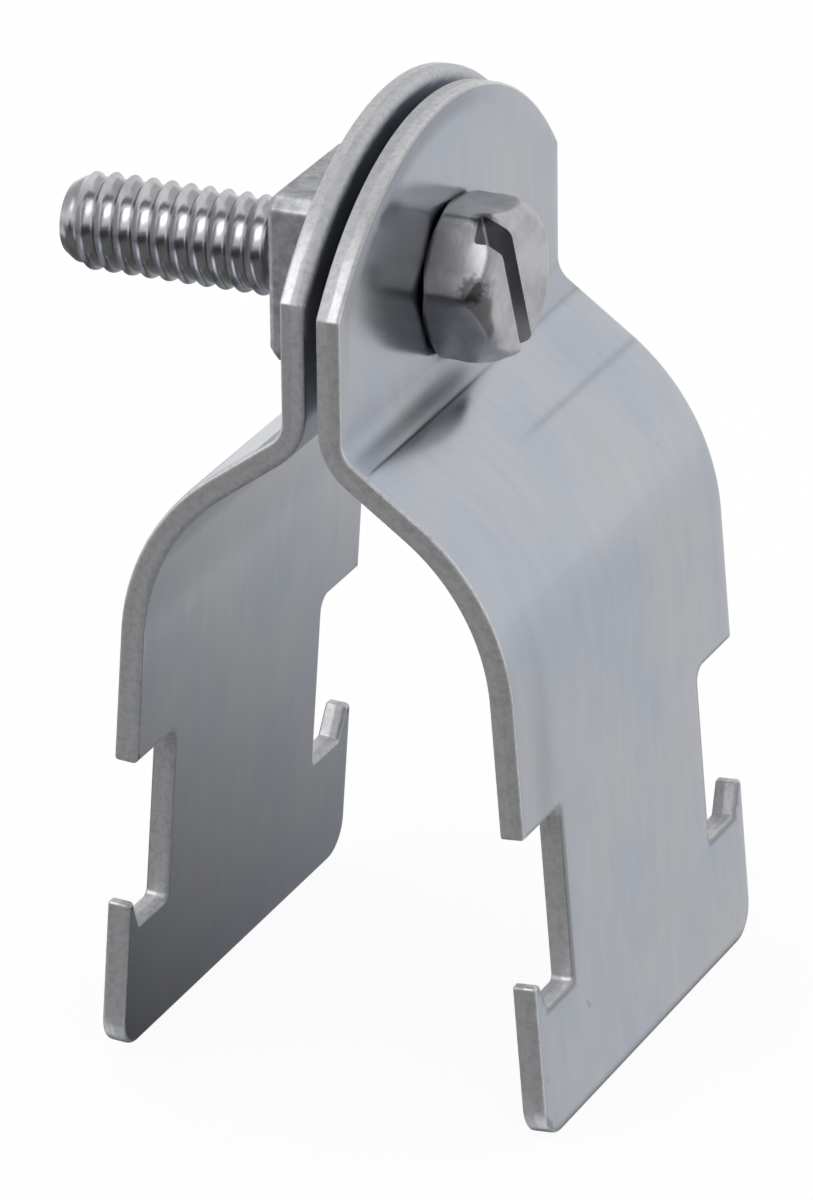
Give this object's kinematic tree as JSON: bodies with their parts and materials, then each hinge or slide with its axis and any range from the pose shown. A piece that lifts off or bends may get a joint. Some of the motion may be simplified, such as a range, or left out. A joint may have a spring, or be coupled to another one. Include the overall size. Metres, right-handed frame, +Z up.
{
  "type": "strut pipe clamp",
  "caption": "Two-piece steel strap clamp that holds a pipe on strut channel: notched strap halves drawn together over the pipe by a slotted hex-head screw and a square nut.",
  "frame": {"origin": "on the pipe's axis, midway across the right half's width and midway between the two halves; the screw's axis is 21 mm above it", "axes": "+X along the screw towards its head, +Y along the pipe, +Z up from the channel towards the ears"},
  "size_m": [0.0386, 0.0336, 0.0609],
  "materials": {
    "strap": "zinc plated, satin",
    "screw": "zinc plated, bright",
    "nut": "zinc plated, dull"
  },
  "bodies": {
    "right": {"right_half": "strap"},
    "screw": {"hex_screw": "screw"},
    "left": {"left_half": "strap", "square_nut": "nut"}
  },
  "joints": [
    {"name": "screw_turn", "type": "hinge", "parent": "right", "child": "screw", "pos_m": [0, 0, 0.02095], "axis": [1, 0, 0], "range_deg": [-256, 4321]},
    {"name": "left_slide", "type": "slide", "parent": "right", "child": "left", "axis": [-1, 0, 0], "range_m": [-0.0009, 0.01524]}
  ],
  "couplings": [
    {"joint": "screw_turn", "follows": "left_slide", "rad_per_m": 4947.4}
  ]
}
